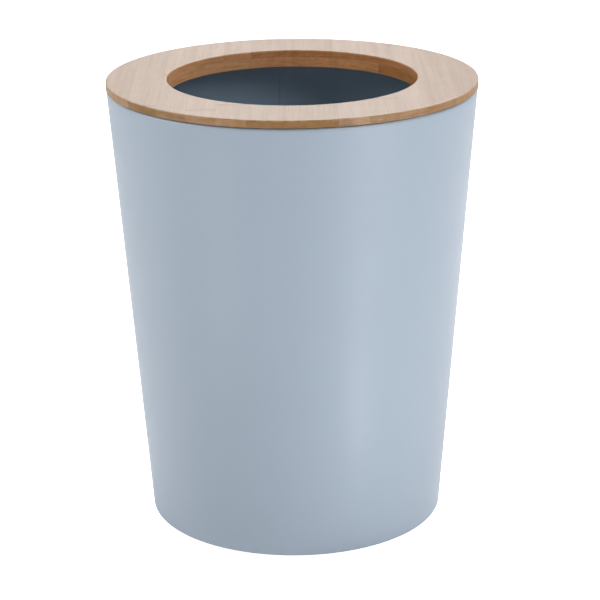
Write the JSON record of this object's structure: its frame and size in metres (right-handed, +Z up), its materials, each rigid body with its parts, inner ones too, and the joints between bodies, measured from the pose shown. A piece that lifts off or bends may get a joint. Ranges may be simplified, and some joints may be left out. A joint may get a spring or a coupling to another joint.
{
  "type": "bathroom bin",
  "caption": "Round tapered bathroom bin of coated sheet steel with a loose laminated bamboo ring lid round its mouth.",
  "frame": {"origin": "on the floor, under the centre of the bin", "axes": "+Z up along the bin's own axis, which is its longest dimension; the front faces -Y and the weld seam is at the back, at +Y"},
  "size_m": [0.2306, 0.2306, 0.2833],
  "materials": {
    "powder_coat": "satin powder coat",
    "bamboo": "clear satin lacquer",
    "foot_rubber": "matt"
  },
  "bodies": {
    "bin": {"body_shell": "powder_coat", "base_pan": "powder_coat", "foot_pad_1": "foot_rubber", "foot_pad_2": "foot_rubber", "foot_pad_3": "foot_rubber", "foot_pad_4": "foot_rubber"},
    "lid": {"upper_stave_01": "bamboo", "upper_stave_02": "bamboo", "upper_stave_03": "bamboo", "upper_stave_04_front": "bamboo", "upper_stave_04_back": "bamboo", "upper_stave_05_front": "bamboo", "upper_stave_05_back": "bamboo", "upper_stave_06_front": "bamboo", "upper_stave_06_back": "bamboo", "upper_stave_07_front": "bamboo", "upper_stave_07_back": "bamboo", "upper_stave_08_front": "bamboo", "upper_stave_08_back": "bamboo", "upper_stave_09_front": "bamboo", "upper_stave_09_back": "bamboo", "upper_stave_10_front": "bamboo", "upper_stave_10_back": "bamboo", "upper_stave_11": "bamboo", "upper_stave_12": "bamboo", "upper_stave_13": "bamboo", "lower_stave_01": "bamboo", "lower_stave_02": "bamboo", "lower_stave_03_front": "bamboo", "lower_stave_03_back": "bamboo", "lower_stave_04_front": "bamboo", "lower_stave_04_back": "bamboo", "lower_stave_05_front": "bamboo", "lower_stave_05_back": "bamboo", "lower_stave_06_front": "bamboo", "lower_stave_06_back": "bamboo", "lower_stave_07": "bamboo", "lower_stave_08": "bamboo"}
  },
  "joints": [
    {"name": "lid_lift", "type": "slide", "parent": "bin", "child": "lid", "axis": [0, 0, 1], "range_m": [0, 0.08]}
  ]
}
